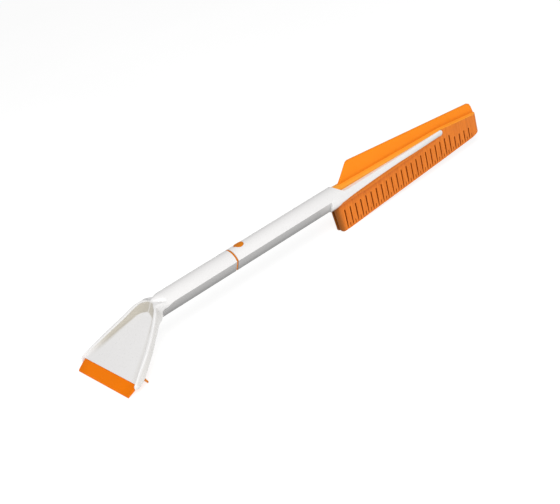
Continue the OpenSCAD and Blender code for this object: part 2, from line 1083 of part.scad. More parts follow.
// Outline of the bristle block below the spine
module block_outline() {
    polygon(concat(
        [[block_left, block_left_z], [spine_low_x, spine_low_z], [spine_line_end, spine_end_low_z]],
        tip_arc(0.02, -78, 70),
        [[spine_tip, ridge_break_z - foot_edge - 0.02],
         [fin_end, ridge_end_z - foot_edge - 0.02],
         [brush_reach, -20],
         [brush_reach - 0.6, -22.5],
         [brush_reach - 1.7, -25.8],
         [brush_reach - 4, -28.6],
         [brush_reach - 7.2, -30.4],
         [brush_reach - 11.5, -31.4],
         [339, -35.6],
         [224.5, -42.4],
         [172, block_low_z],
         [163.5, block_low_z],
         [160, block_low_z + 1.2],
         [158.6, block_low_z + 4]]
    ));
}

// A slit with a pointed upper end
module slit(x, width, low, top) {
    polygon([
        [x - width / 2, low],
        [x - width / 2, top - slit_point],
        [x, top],
        [x + width / 2, top - slit_point],
        [x + width / 2, low]
    ]);
}

// Long slits between the fingers and a short slit in each finger's tip
module slits(offset) {
    for (i = [-1 : slit_count - 1]) {
        x = (i < 0 ? slit_first : slit_second + slit_pitch * i) + offset;
        if (x > 159 && x < brush_reach - 10)
            slit(x, slit_width, x < 168 ? -32 : -60, slit_top_z(x));
    }
    for (i = [0 : slit_count - 1]) {
        x = slit_second + slit_pitch * (i + 0.5) + offset;
        if (x < brush_reach - 6)
            slit(x, short_slit_width, -60, block_low(x) + 7);
    }
}

module bristle_comb(near, far, offset) {
    intersection() {
        along_y(near, far)
            difference() {
                block_outline();
                slits(offset);
            }
        round_end();
    }
}

// Root of a comb: the part that goes up between the sides of the spine
module comb_root(near, far) {
    along_y(near, far)
        polygon([
            [spine_start + 2, -12.4],
            [spine_start + 2, root_top_z],
            [spine_tip, root_top_z],
            [spine_tip + 1, -3.6],
            [spine_line_end, -5.5]
        ]);
}

module screw_rows() {
    for (x = core_screw_xs)
        translate([x, 0, core_screw_z])
            rotate([90, 0, 0])
                cylinder(h = 40, r = shank_radius + screw_fit, center = true);
}

module front_bristle_comb() {
    color(orange)
        placed()
            difference() {
                union() {
                    bristle_comb(-block_half, -web_half, 0);
                    comb_root(-slot_half + 0.1, -web_half);
                }
                screw_rows();
            }
}

module rear_bristle_comb() {
    color(dark_orange)
        placed()
            difference() {
                union() {
                    bristle_comb(web_half, block_half, slit_pitch / 2);
                    comb_root(web_half, slot_half - 0.1);
                }
                screw_rows();
            }
}

// ---- Drawing ----

scraper_upper_shell();
scraper_lower_shell();
scraper_blade();
ice_breaker_comb();
comb_screws();
blade_rivets();
coupling_spigot();
scraper_handle_screws();
latch_spring();
latch_rivet();
release_button();
brush_upper_shell();
brush_lower_shell();
socket_sleeve();
brush_handle_screws();
squeegee_fin();
brush_core();
front_bristle_comb();
rear_bristle_comb();
core_screws();
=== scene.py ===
"""Looks of the snow brush scraper: detailed pieces, materials, studio light and camera.

Outlines are given in millimetres from the middle of the coupling ring, with X towards the
brush and Z towards the fin, as the tool is drawn. place() takes them into the frame.
"""
import bmesh
import bpy
from math import atan2, cos, pi, radians, sin, sqrt
from mathutils import Matrix, Vector
from mathutils.bvhtree import BVHTree


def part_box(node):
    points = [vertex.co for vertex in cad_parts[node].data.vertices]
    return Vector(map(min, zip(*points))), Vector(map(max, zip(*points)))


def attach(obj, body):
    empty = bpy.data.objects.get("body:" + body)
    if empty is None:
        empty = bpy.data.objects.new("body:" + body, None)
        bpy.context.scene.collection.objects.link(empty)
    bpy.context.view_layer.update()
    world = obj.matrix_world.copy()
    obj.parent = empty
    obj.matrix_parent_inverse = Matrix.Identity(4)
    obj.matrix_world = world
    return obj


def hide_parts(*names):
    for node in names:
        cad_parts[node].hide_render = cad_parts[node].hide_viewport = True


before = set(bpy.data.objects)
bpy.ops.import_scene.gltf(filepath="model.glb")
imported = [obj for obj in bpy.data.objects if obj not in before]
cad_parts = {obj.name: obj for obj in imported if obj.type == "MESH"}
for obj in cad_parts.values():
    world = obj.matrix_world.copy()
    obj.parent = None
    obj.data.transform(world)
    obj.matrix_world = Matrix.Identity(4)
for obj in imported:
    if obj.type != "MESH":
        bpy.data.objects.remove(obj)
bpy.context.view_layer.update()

MM = 0.001

# ---- Places taken from the frame ----

SPIGOT_REACH = 60
FLOOR_Z = -12.6
ring_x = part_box("coupling_spigot")[1].x - SPIGOT_REACH * MM
axis_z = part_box("scraper_lower_shell")[0].z - FLOOR_Z * MM
ORIGIN = Vector((ring_x, 0, axis_z))

# Handle section
ARC_Z = -0.9
HANDLE_R = 13.8
PARTING_Z = 2
FLANK_LOW_Z = -11.1
FLANK_LOW_HALF = 6.6
PARTING_HALF = sqrt(HANDLE_R ** 2 - (PARTING_Z - ARC_Z) ** 2)
WALL = 2.2
RING_BACK = -1.3

# Scraper head
SHAFT = 110.7
DROOP = radians(28.15)
BEND = Vector((-SHAFT, 0, 2))
ALONG = Vector((-cos(DROOP), 0, -sin(DROOP)))
NORMAL = Vector((-sin(DROOP), 0, cos(DROOP)))
PANEL = 1.8
PANEL_FRONT = 82.4
FRONT_HALF = 51.7

# Brush
REACH = 420
BLOCK_LOW = -46.48
SLIT_PITCH = 9.226
SLIT_FIRST = 169.3
# The spine's lower edge: a point on it and how steeply it rises
SPINE_EDGE_X = 164
SPINE_EDGE_Z = -10.6
SPINE_RISE = 0.0398
SPINE_SHADE_HEIGHT = 6.5
PALE_FROM_X = 126
PALE_TO_X = 154


def place(p):
    """A point of the drawing, in millimetres, as a point of the frame."""
    return ORIGIN + Vector(p) * MM


def drawing(p):
    """The drawing coordinates, in millimetres, of a point of the frame."""
    return (Vector(p) - ORIGIN) / MM


def head(s, y, t):
    """A point of the head: s along it from the bend, y across, t square to its floor."""
    return place(BEND + ALONG * s + NORMAL * t + Vector((0, y, 0)))


def mix(a, b, k):
    return a + (b - a) * k


def ease(k):
    k = min(max(k, 0.0), 1.0)
    return k * k * (3 - 2 * k)


def along(points, x):
    """The value at x of a line through (x, value) points."""
    if x <= points[0][0]:
        return points[0][1]
    for (x0, v0), (x1, v1) in zip(points, points[1:]):
        if x <= x1:
            return mix(v0, v1, (x - x0) / (x1 - x0))
    return points[-1][1]


# ---- Materials ----

class Nodes:
    """A small helper that adds and links shader nodes."""

    def __init__(self, name):
        self.material = bpy.data.materials.new(name)
        self.material.use_nodes = True
        self.tree = self.material.node_tree
        self.shader = self.tree.nodes["Principled BSDF"]
        self.place = self.tree.nodes.new("ShaderNodeTexCoord").outputs["Object"]

    def add(self, kind, links=(), **values):
        n = self.tree.nodes.new(kind)
        for key, value in values.items():
            if hasattr(n, key):
                setattr(n, key, value)
            else:
                n.inputs[key.replace("_", " ")].default_value = value
        for socket, output in dict(links).items():
            self.tree.links.new(output, n.inputs[socket])
        return n

    def noise(self, scale, detail=3.0, stretch=(1, 1, 1)):
        m = self.add("ShaderNodeMapping", {"Vector": self.place})
        m.inputs["Scale"].default_value = stretch
        n = self.add("ShaderNodeTexNoise", {"Vector": m.outputs["Vector"]}, Scale=scale, Detail=detail)
        return n.outputs["Fac"]

    def ramp(self, fac, stops):
        n = self.add("ShaderNodeValToRGB", {"Fac": fac})
        r = n.color_ramp
        while len(r.elements) < len(stops):
            r.elements.new(0.5)
        for e, (at, color) in zip(r.elements, stops):
            e.position = at
            e.color = (*color, 1)
        return n.outputs["Color"]

    def span(self, fac, low, high, to_low, to_high):
        n = self.add("ShaderNodeMapRange", {"Value": fac})
        n.inputs["From Min"].default_value = low
        n.inputs["From Max"].default_value = high
        n.inputs["To Min"].default_value = to_low
        n.inputs["To Max"].default_value = to_high
        return n.outputs["Result"]

    def blend(self, factor, first, second, how="MIX"):
        """Blends two colours; factor and second are an output or plain values."""
        n = self.add("ShaderNodeMix", data_type="RGBA", blend_type=how)
        self.tree.links.new(first, n.inputs[6])
        for socket, value in ((n.inputs["Factor"], factor), (n.inputs[7], second)):
            if isinstance(value, bpy.types.NodeSocket):
                self.tree.links.new(value, socket)
            else:
                socket.default_value = value
        return n.outputs[2]

    def recess(self, first, color):
        """Blends towards a painted shade colour; how much of it is kept with the mesh."""
        deep = self.add("ShaderNodeAttribute", attribute_name="recess").outputs["Fac"]
        return self.blend(deep, first, (*color, 1))

    def base(self):
        """What the base colour is linked to so far."""
        return self.shader.inputs["Base Color"].links[0].from_socket

    def bump(self, layers):
        """Stacks (height, strength, distance) layers of relief into the normal."""
        last = None
        for height, strength, distance in layers:
            n = self.add("ShaderNodeBump", {"Height": height})
            n.inputs["Strength"].default_value = strength
            n.inputs["Distance"].default_value = distance
            if last:
                self.tree.links.new(last, n.inputs["Normal"])
            last = n.outputs["Normal"]
        self.tree.links.new(last, self.shader.inputs["Normal"])

    def into(self, socket, output):
        self.tree.links.new(output, self.shader.inputs[socket])


SHELL_WHITE = (0.80, 0.79, 0.785)


def shade(color, k):
    return tuple(min(c * k, 1.0) for c in color)


def moulded(name, color, rough, grain=0.02, edge=1.06, coat=0.0, gloss=0.5, recess=None,
            cloudy=0.03, waves=0.05):
    """Injection-moulded plastic: cloudy tone, fine grain, flow waves, and edges a little off in tone."""
    m = Nodes(name)
    cloud = m.noise(28, 4)
    tone = m.ramp(cloud, [(0.3, shade(color, 1 - cloudy)), (0.55, color), (0.75, shade(color, 1 + cloudy))])
    point = m.add("ShaderNodeNewGeometry").outputs["Pointiness"]
    worn = m.ramp(point, [(0.52, (0, 0, 0)), (0.6, (1, 1, 1))])
    tinted = m.blend(worn, tone, (*shade(color, edge), 1))
    # Painted shade: darkens towards the given colour where the mesh keeps a painted shade amount
    m.into("Base Color", m.recess(tinted, recess) if recess else tinted)
    m.into("Roughness", m.span(m.noise(420, 5), 0.3, 0.7, rough * 0.86, rough * 1.16))
    scratch = m.noise(900, 2, (0.12, 1, 1))
    m.bump([
        (m.noise(60, 2), waves, 0.0004),
        (m.noise(3200, 2), grain, 0.0001),
        (scratch, grain * 0.6, 0.00006),
    ])
    m.shader.inputs["IOR"].default_value = 1.5
    m.shader.inputs["Specular IOR Level"].default_value = gloss
    m.shader.inputs["Coat Weight"].default_value = coat
    m.shader.inputs["Coat Roughness"].default_value = 0.12
    return m


def white_shell():
    # Painted shade: the beige-grey colour darkens the scoop's inner walls, arch band and flanks
    m = moulded("white_shell", SHELL_WHITE, 0.30, 0.004, 1.0, coat=0.2, cloudy=0.008, waves=0.02,
                recess=(0.52, 0.485, 0.415))
    return m.material


def spine_white():
    """White shell with painted shade that makes its sides greyer towards the spine's lower edge."""
    m = moulded("white_spine", SHELL_WHITE, 0.30, 0.008, 1.03, coat=0.2, cloudy=0.012)
    parts = m.add("ShaderNodeSeparateXYZ", {"Vector": m.place})
    slope = m.add("ShaderNodeMath", operation="MULTIPLY_ADD")
    m.tree.links.new(parts.outputs["X"], slope.inputs[0])
    slope.inputs[1].default_value = -SPINE_RISE
    m.tree.links.new(parts.outputs["Z"], slope.inputs[2])
    base_z = axis_z + SPINE_EDGE_Z * MM - SPINE_RISE * (ring_x + SPINE_EDGE_X * MM)
    rise = m.span(slope.outputs[0], base_z, base_z + SPINE_SHADE_HEIGHT * MM, 0.0, 1.0)
    # Painted shade: grey near the lower edge, fading to none higher up the side
    under = m.ramp(rise, [(0.0, (0.55, 0.55, 0.55)), (0.4, (0.84, 0.84, 0.84)), (1.0, (1, 1, 1))])
    m.into("Base Color", m.blend(1.0, m.base(), under, "MULTIPLY"))
    return m.material


def lower_shell_painted_shade():
    """Lower shells of white plastic in painted shade: a grey base, deeper painted shade from the flank down
    to the floor, and the shade lighter at the brush end.
    """
    # The grey base colour is painted shade on white plastic
    m = moulded("white_lower_shell", (0.40, 0.395, 0.39), 0.34, 0.03, 1.05, coat=0.1)
    parts = m.add("ShaderNodeSeparateXYZ", {"Vector": m.place})
    rise = m.span(parts.outputs["Z"], axis_z + FLOOR_Z * MM, axis_z + PARTING_Z * MM, 0.0, 1.0)
    shadow = m.ramp(rise, [(0.05, (0.42, 0.42, 0.42)), (0.45, (0.78, 0.78, 0.78)), (0.95, (1, 1, 1))])
    graded = m.blend(1.0, m.base(), shadow, "MULTIPLY")
    # Painted shade made lighter towards the brush end
    paler = m.add("ShaderNodeVectorMath", {0: graded}, operation="SCALE")
    lift = m.span(parts.outputs["X"], ring_x + PALE_FROM_X * MM, ring_x + PALE_TO_X * MM, 1.0, 1.6)
    m.tree.links.new(lift, paler.inputs["Scale"])
    m.into("Base Color", paler.outputs[0])
    return m.material


def orange_plastic():
    m = moulded("orange_plastic", (0.80, 0.23, 0.002), 0.4, 0.02, 0.7, gloss=0.2)
    return m.material


def orange_soft():
    # Painted shade: darker orange where the mesh keeps a painted shade amount, at the fin's foot
    m = moulded("orange_rubber", (0.96, 0.26, 0.004), 0.5, 0.04, 0.8, gloss=0.15,
                recess=(0.66, 0.14, 0.002))
    return m.material


# Painted light: a lighter, glossier copy of the fin rubber, where the foot's slope catches the light
def orange_foot_painted_light():
    m = moulded("orange_foot_painted_light", (0.98, 0.37, 0.03), 0.42, 0.03, 0.85, gloss=0.3)
    return m.material


def orange_blade():
    m = moulded("orange_blade", (0.86, 0.19, 0.0), 0.45, 0.03, 0.75, gloss=0.08)
    return m.material


def bristle_material(name, color, dark):
    """Bristle rubber with fine vertical flow lines, and painted shade at the near end of its row."""
    m = Nodes(name)
    lines = m.noise(700, 2, (1, 1, 0.04))
    tone = m.ramp(lines, [(0.3, dark), (0.6, color), (0.8, shade(color, 1.08))])
    # Painted shade towards dark brown where the mesh keeps a painted shade amount
    m.into("Base Color", m.recess(tone, (0.25, 0.068, 0.003)))
    m.into("Roughness", m.span(m.noise(500, 4), 0.3, 0.7, 0.42, 0.56))
    m.bump([(lines, 0.12, 0.0003), (m.noise(2600, 2), 0.05, 0.0001)])
    m.shader.inputs["Specular IOR Level"].default_value = 0.2
    return m.material


def bristle_orange():
    return bristle_material("orange_bristle", (0.79, 0.205, 0.013), (0.67, 0.162, 0.008))


def slit_shade():
    """Walls of the slits, in a dark painted shade of the bristle rubber."""
    return bristle_material("orange_bristle_slit_painted_shade", (0.40, 0.072, 0.001), (0.32, 0.05, 0.001))


def inner_face_shade():
    """Painted shade on the faces of the two rows that are turned towards each other."""
    return bristle_material("orange_bristle_inner_painted_shade", (0.24, 0.038, 0.001), (0.17, 0.026, 0.001))


def inner_plastic():
    m = moulded("inner_plastic", (0.30, 0.05, 0.006), 0.5, 0.06, 1.1)
    return m.material


def steel():
    m = Nodes("steel")
    brushed = m.noise(1500, 3, (1, 1, 0.05))
    m.into("Base Color", m.ramp(brushed, [(0.3, (0.42, 0.42, 0.44)), (0.7, (0.62, 0.62, 0.65))]))
    m.into("Roughness", m.span(brushed, 0.3, 0.7, 0.22, 0.4))
    m.bump([(brushed, 0.1, 0.0001)])
    m.shader.inputs["Metallic"].default_value = 1.0
    return m.material


WHITE = white_shell()
SPINE = spine_white()
LOWER = lower_shell_painted_shade()
PLASTIC = orange_plastic()
SOFT = orange_soft()
FOOT_PAINTED_LIGHT = orange_foot_painted_light()
BLADE = orange_blade()
BRISTLE = bristle_orange()
INNER_FACE = inner_face_shade()
SLIT = slit_shade()
INNER = inner_plastic()
STEEL = steel()


# ---- Mesh helpers ----

def new_piece(name, bm, material, body, replaced=(), sharp=35):
    """Turns a bmesh into a named piece that rides on a body."""
    bmesh.ops.remove_doubles(bm, verts=bm.verts, dist=2e-6)
    bmesh.ops.recalc_face_normals(bm, faces=bm.faces)
    me = bpy.data.meshes.new(name)
    bm.to_mesh(me)
    bm.free()
    for p in me.polygons:
        p.use_smooth = True
    me.set_sharp_from_angle(angle=radians(sharp))
    me.materials.append(material)
    o = bpy.data.objects.new(name, me)
    bpy.context.scene.collection.objects.link(o)
    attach(o, body)
    if replaced:
        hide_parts(*replaced)
    return o


def bevel(o, width, segments=2, angle=30):
    """Rounds the edges sharper than the angle."""
    m = o.modifiers.new("rounded_edges", "BEVEL")
    m.width = width * MM
    m.segments = segments
    m.limit_method = "ANGLE"
    m.angle_limit = radians(angle)
    m.use_clamp_overlap = True
    m.harden_normals = True


def paint_recess(o, amount):
    """Keeps a painted shade amount(point), from 0 to 1, with each point of a piece."""
    data = o.data.attributes.new("recess", "FLOAT", "POINT")
    for v, value in zip(o.data.vertices, data.data):
        value.value = amount(v.co)


def slice_by(bm, point, normal):
    """Adds edges where a plane crosses the mesh, and keeps both sides."""
    every = bm.verts[:] + bm.edges[:] + bm.faces[:]
    bmesh.ops.bisect_plane(bm, geom=every, plane_co=point, plane_no=normal, dist=0.0001)


def mirrored(half):
    """A symmetric outline from one half, whose last point lies on the middle line."""
    return [(-y, z) for y, z in half] + [(y, z) for y, z in reversed(half[:-1])]


def loft(bm, sections):
    """Skins closed sections that all have the same number of points, and caps both ends."""
    rows = [[bm.verts.new(p) for p in section] for section in sections]
    count = len(rows[0])
    for a, b in zip(rows, rows[1:]):
        for i in range(count):
            j = (i + 1) % count
            bm.faces.new((a[i], a[j], b[j], b[i]))
    bm.faces.new(rows[0])
    bm.faces.new(rows[-1])


def prism(bm, outline, low, high, to_point):
    """Extrudes an outline of (a, b) points between two depths; to_point maps (a, b, depth)."""
    near = [bm.verts.new(to_point(a, b, low)) for a, b in outline]
    far = [bm.verts.new(to_point(a, b, high)) for a, b in outline]
    count = len(outline)
    for i in range(count):
        j = (i + 1) % count
        bm.faces.new((near[i], near[j], far[j], far[i]))
    bm.faces.new(near)
    bm.faces.new(far)


def box(bm, low, high, to_point):
    (x0, y0, z0), (x1, y1, z1) = low, high
    prism(bm, [(x0, z0), (x1, z0), (x1, z1), (x0, z1)], y0, y1, lambda a, b, d: to_point((a, d, b)))


# ---- Scraper head ----

# Heights and half-widths along the head, as (s, value): rim, underside, foot of the flank
RIM_LINE = [(-13, 5.4), (-8, 6.9), (-4.5, 7.4), (-3, 7.7), (0, 8.3), (2.5, 8.5), (5, 8.5), (9, 8.0),
            (15, 7.3), (24, 6.0), (37, 5.1), (48, 4.7), (61, 4.4), (73, 4.2), (82, 3.6), (85.5, 2.4),
            (87, 0.4)]
UNDER_LINE = [(0, -12.2), (6.9, -12.4), (14, -8.8), (31, -6.6), (73, -5.6), (83.5, -4.2), (87, -1.6)]
FLANK_LINE = [(-3, 6.8), (0, 7.4), (6, 9.8), (14, 16.0), (20, 20.6), (31, 28.6), (41, 35.0), (52, 41.0),
              (73, 51.2), (82, 53.4), (85.5, 53.2), (87, 52.4)]
ARCH_START = -2.5
ARCH_LENGTH = 9
BACK_LENGTH = 15


def bead(s):
    """Extra width of the rim between the bend and the blade."""
    return 1.8 * ease((s + 3) / 12) * (1 - ease((s - 45) / 37))


def rim_half(s):
    spread = 12 + 42 * (max(s, 0) / 82) ** 0.78
    tip = max(0.0, (s - 81.5) / 5.5)
    return max(13.6, spread - 2.6 * tip ** 2) + bead(s)


def arch(s, start, length):
    return sqrt(max(0.0, 1 - (1 - min(max(s - start, 0) / length, 1)) ** 2))


def hollow_half(s):
    wall = mix(2.3, 3.4, ease(s / 30)) if s < 55 else mix(3.4, 2.2, ease((s - 55) / 27))
    wall += 0.8 * bead(s)
    return min((rim_half(s) - wall) * arch(s, ARCH_START, ARCH_LENGTH), FRONT_HALF + 0.1)


def floor_t(s):
    """Height of the scoop's floor, with its back wall curving up to the rim."""
    back = max(0.0, 1 - (s - ARCH_START) / BACK_LENGTH)
    return PANEL * 0.72 + (along(RIM_LINE, ARCH_START) - PANEL) * back ** 1.9


def head_section(s):
    """One cut across the head: over the top from flank to flank, then back underneath."""
    rim = along(RIM_LINE, s)
    under = along(UNDER_LINE, s)
    low_half = along(FLANK_LINE, s)
    outer = rim_half(s)
    inner = max(hollow_half(s), 0.2)
    edge = mix(0.3, 1.1, min(max(s - ARCH_START, 0) / 6, 1))
    low = floor_t(s) if s > ARCH_START else rim
    low = min(low, rim)
    half = []
    # Flank, from the underside up to the rim
    for i in range(9):
        k = i / 8
        t = mix(under + 0.8, rim - edge, k)
        y = mix(low_half, outer, 1 - (1 - k) ** 1.6)
        half.append((y, t))
    # Rim top, rounded on both sides
    for a in (22, 45, 68, 90):
        half.append((outer - edge + edge * cos(radians(a)), rim - edge + edge * sin(radians(a))))
    crest = min(edge, (outer - inner) * 0.4)
    for a in (90, 60, 30, 0):
        half.append((inner + crest - crest * cos(radians(a)), rim - crest + crest * sin(radians(a))))
    # Inner wall, with a hollow curve into the floor
    depth = max(rim - crest - low, 0.0)
    bowl = 1 - ease((s - 2) / 12)
    reach = min(inner * mix(0.5, 0.92, bowl), 1.6 + depth * mix(0.95, 3.0, bowl))
    for i in range(1, 9):
        a = radians(90 * i / 8)
        half.append((inner - reach * (1 - cos(a)), rim - crest - depth * sin(a)))
    for i in range(1, 7):
        half.append(((inner - reach) * (1 - i / 6), low))
    top = mirrored(half)
    # Underside: wall foot, inner wall, panel
    thick = min(3.0, low_half * 0.3)
    foot = max(low_half - thick, 0.5)
    hollow = ease((s - 20) / 5)
    ceiling = mix(under, 0.0, hollow)
    inside = min(foot + 0.8, FRONT_HALF) if s > 24 else foot
    below = [(low_half - 0.5, under + 0.15), (low_half - 1.0, under), (foot + 0.4, under),
             (foot, under + 0.3 * hollow), (inside, mix(under, -0.6, hollow)), (inside - 0.6, ceiling),
             (inside * 0.5, ceiling), (0.0, ceiling)]
    bottom = [(-y, t) for y, t in mirrored(below)]
    return [head(s, y, t) for y, t in top], [head(s, y, t) for y, t in bottom]


def handle_section(x, low_z, hollow, count_top, count_low):
    """One cut across the upper handle shell, its lower edge at low_z on the flank."""
    if low_z >= PARTING_Z:
        start = Vector((PARTING_HALF, PARTING_Z))
        side = []
    else:
        k = (PARTING_Z - low_z) / (PARTING_Z - FLANK_LOW_Z)
        start = Vector((mix(PARTING_HALF, FLANK_LOW_HALF, k), low_z))
        side = [start]
    arc_from = atan2(PARTING_Z - ARC_Z, PARTING_HALF)
    outline = []
    flank = 9
    for i in range(flank):
        k = i / (flank - 1)
        if side:
            outline.append((mix(start.x, PARTING_HALF, k), mix(start.y, PARTING_Z, k)))
        else:
            a = arc_from + 0.02 * k
            outline.append((HANDLE_R * cos(a), ARC_Z + HANDLE_R * sin(a)))
    rest = (count_top + 1) // 2 - flank
    first = arc_from + (0.0 if side else 0.02)
    for i in range(1, rest + 1):
        a = mix(first, pi / 2, i / rest)
        outline.append((HANDLE_R * cos(a), ARC_Z + HANDLE_R * sin(a)))
    outline[-1] = (0.0, ARC_Z + HANDLE_R)
    top = mirrored(outline)
    half_count = (count_low + 1) // 2
    below = []
    for i in range(half_count):
        k = i / (half_count - 1)
        if hollow:
            r = HANDLE_R - WALL
            a0 = atan2(PARTING_Z - ARC_Z, r)
            a = mix(a0, pi / 2, k)
            y = r * cos(a)
            below.append((y, max(ARC_Z + r * sin(a), PARTING_Z)))
        else:
            below.append((mix(start.x - 0.4, 0.0, k), start.y))
    bottom = [(-y, z) for y, z in mirrored(below)]
    return [place((x, y, z)) for y, z in top], [place((x, y, z)) for y, z in bottom]


def blend_sections(a, b, k):
    return [p.lerp(q, k) for p, q in zip(a, b)]


def scraper_shell():
    bm = bmesh.new()
    n_top, n_low = (len(half) for half in head_section(30))
    sections = []

    def handle(x, low_z, hollow):
        top, low = handle_section(x, low_z, hollow, n_top, n_low)
        sections.append(top + low)

    for x in (RING_BACK, RING_BACK - 0.25, -30, -60, -89.4, -89.9):
        handle(x, PARTING_Z, True)
    sweep = [(-90, 2.0), (-94, 0.9), (-98, -0.5), (-101, -1.9), (-104, -3.5), (-111, -8.5)]
    for x, low_z in sweep[:3]:
        handle(x, low_z, False)
    # The bend: from the straight handle into the widening head
    steps = 14
    for i in range(1, steps):
        k = i / steps
        x = mix(-98, -110, k)
        low_z = along([(-b, z) for b, z in sweep], -x)
        ht, hl = handle_section(x, low_z, False, n_top, n_low)
        s = mix(-11.5, 1.0, k)
        dt, dl = head_section(s)
        sections.append(blend_sections(ht + hl, dt + dl, ease(k)))
    for s in (1.0, 1.8, 2.6, 3.4, 4.2, 5.1, 6.2, 7.5, 9, 10.5, 12, 13.5, 15, 17, 19, 20.5, 22, 23.5, 25,
              28, 31, 35, 40, 45, 50, 55, 60, 65, 70, 74, 78, 80, 81.5, PANEL_FRONT):
        top, low = head_section(s)
        sections.append(top + low)
    loft(bm, sections)
    # Tips of the side walls, past the end of the floor panel
    for side in (-1, 1):
        cuts = []
        for s in (PANEL_FRONT - 0.5, 84, 85.2, 86.2, 86.8, 87.2):
            rim, under = along(RIM_LINE, s), along(UNDER_LINE, s)
            outer, low_half = rim_half(s), along(FLANK_LINE, s)
            pinch = 0.8 * max(0.0, (s - 85) / 2.2) ** 2
            rim -= pinch
            under += pinch
            inner = FRONT_HALF
            mid = (outer + inner) / 2
            r = min(0.9, (outer - inner) * 0.45)
            cut = []
            for a in range(0, 181, 30):
                y = mid + (outer - inner) / 2 * cos(radians(a))
                cut.append((y, rim - r + r * sin(radians(a))))
            for a in range(0, 181, 30):
                y = mid - (outer - inner) / 2 * cos(radians(a)) + (low_half - outer) * 0.5
                y = max(y, inner)
                cut.append((y, under + r - r * sin(radians(a))))
            cuts.append([head(s, side * y, t) for y, t in cut])
        loft(bm, cuts)
    # Ribs and pegs under the floor panel
    for y in (-9, 9):
        box(bm, (22, y - 0.8, -5.2), (63.5, y + 0.8, 0.3), lambda p: head(p[0], p[1], p[2]))
    for s in (40, 58):
        half = 13 + (s - 10) * 0.5
        box(bm, (s, -half, -4.6), (s + 1.6, half, 0.3), lambda p: head(p[0], p[1], p[2]))
    o = new_piece("scraper_shell_skin", bm, WHITE, "scraper", ["scraper_upper_shell"], 50)
    paint_recess(o, scoop_shade)


def head_place(p):
    """The head coordinates (s, y, t) of a point of the frame."""
    d = drawing(p) - BEND
    return d.dot(ALONG), d.y, d.dot(NORMAL)


def scoop_shade(p):
    """Painted shade of the scoop's inner walls and the arch band, which look darker and warmer."""
    s, y, t = head_place(p)
    inner = max(hollow_half(s), 0.0)
    depth = along(RIM_LINE, s) - t
    if s < -8 or s > 84 or t < 0.5 or abs(y) > inner + 0.3:
        # Outside of the head: painted shade makes its flanks a little greyer than its rim
        return 0.3 * ease((depth - 1.0) / 2.5) * ease((s + 4) / 10)
    clear = (inner - 6.5) * arch(s, 8.5, 9)
    side = ease((abs(y) - clear + 0.6) / 2.0)
    near = 1 - ease((y + 8) / 14)
    far_fade = ease((82 - s) / 36)
    near_fade = 0.25 + 0.6 * (1 - ease((s - 12) / 22))
    return side * mix(far_fade, near_fade, near) * ease((depth - 0.7) / 1.2)


# ---- Blade and ice breaker ----

def scraper_blade():
    """Flat plate with a raised root line and a ground front bevel."""
    bm = bmesh.new()
    side = [(64, 40), (80.5, 51.0), (87, 51.4), (97.7, 49.45)]
    front = 97.9

    def half(s):
        return along(side, s)

    sections = []
    for s, top, low in ((64, 0.0, -2.6), (80, 0.0, -2.6), (84, 0.0, -2.6), (88.2, 0.0, -2.6),
                        (88.8, -0.12, -2.6), (96.2, -0.14, -2.6), (96.6, -0.3, -2.6),
                        (97.6, -0.85, -2.6), (front, -1.1, -2.4)):
        w = half(s)
        r = 0.35
        points = [(-w, low + r), (-w, top - r), (-w + r, top)]
        points += [(mix(-w + r, w - r, i / 6), top) for i in range(1, 6)]
        points += [(w - r, top), (w, top - r), (w, low + r), (w - r, low), (-w + r, low)]
        sections.append([head(s, y, t) for y, t in points])
    loft(bm, sections)
    new_piece("scraper_blade_plate", bm, BLADE, "scraper", ["scraper_blade"], 28)


def ice_breaker():
    """A bar under the floor panel with a row of tapering teeth."""
    bm = bmesh.new()
    box(bm, (66, -43, -5.0), (75, 43, -2.6), lambda p: head(p[0], p[1], p[2]))
    box(bm, (71, -43, -7.2), (73.6, 43, -4.9), lambda p: head(p[0], p[1], p[2]))
    teeth, pitch = 15, 6.5
    for i in range(teeth):
        c = (i - (teeth - 1) / 2) * pitch
        sections = []
        for t, half, s0, s1 in ((-5.95, 3.24, 71.0, 73.6), (-6.7, 3.1, 71.0, 73.6), (-9.6, 2.0, 71.1, 73.5),
                                (-13.6, 1.3, 71.2, 73.3), (-14.6, 1.0, 71.4, 73.3), (-15.0, 0.6, 71.7, 73.2)):
            r = min(0.35, half * 0.4)
            ring = [(s0 + r, c - half), (s1 - r, c - half), (s1, c - half + r), (s1, c + half - r),
                    (s1 - r, c + half), (s0 + r, c + half), (s0, c + half - r), (s0, c - half + r)]
            sections.append([head(s, y, t) for s, y in ring])
        loft(bm, sections)
    new_piece("ice_breaker_teeth", bm, PLASTIC, "scraper", ["ice_breaker_comb"], 30)


# ---- Brush: bristles ----

# Lower edges along the brush, as (x, z): the spine's, and the line of the bristle tips
SPINE_LOW = [(156.3, -12.2), (164, -10.6), (347.5, -3.3)]
BLOCK_EDGE = [(158.6, BLOCK_LOW + 4), (160, BLOCK_LOW + 1.2), (163.5, BLOCK_LOW), (172, BLOCK_LOW),
              (224.5, -43.1), (339, -36.4), (408.5, -31.9), (412.8, -30.6), (416, -28.6), (418.3, -25.8),
              (419.4, -22.5), (420, -20)]


# The near end of the block leans: how far it goes back for each millimetre down
BLOCK_START = 156.3
BLOCK_START_Z = -12.2
END_SLANT = 2.3 / 30.3
ROW_INNER = 1.9
ROW_OUTER = 6.5
FINGER_SLIT = 1.9
TIP_SLIT = 1.0
NEAR_SLIT_X = 160.1
END_SHADE = 9.5
SLIT_SLOT = 1
INNER_FACE_SLOT = 2


def inset(x, z):
    """How far a point of a row lies in from the block's near end."""
    return x - BLOCK_START + (z - BLOCK_START_Z) * END_SLANT


def slit_top(x):
    if x < 185:
        return -19.6
    return -15.2 if x > 368 else -19.6 + (x - 185) * 0.061


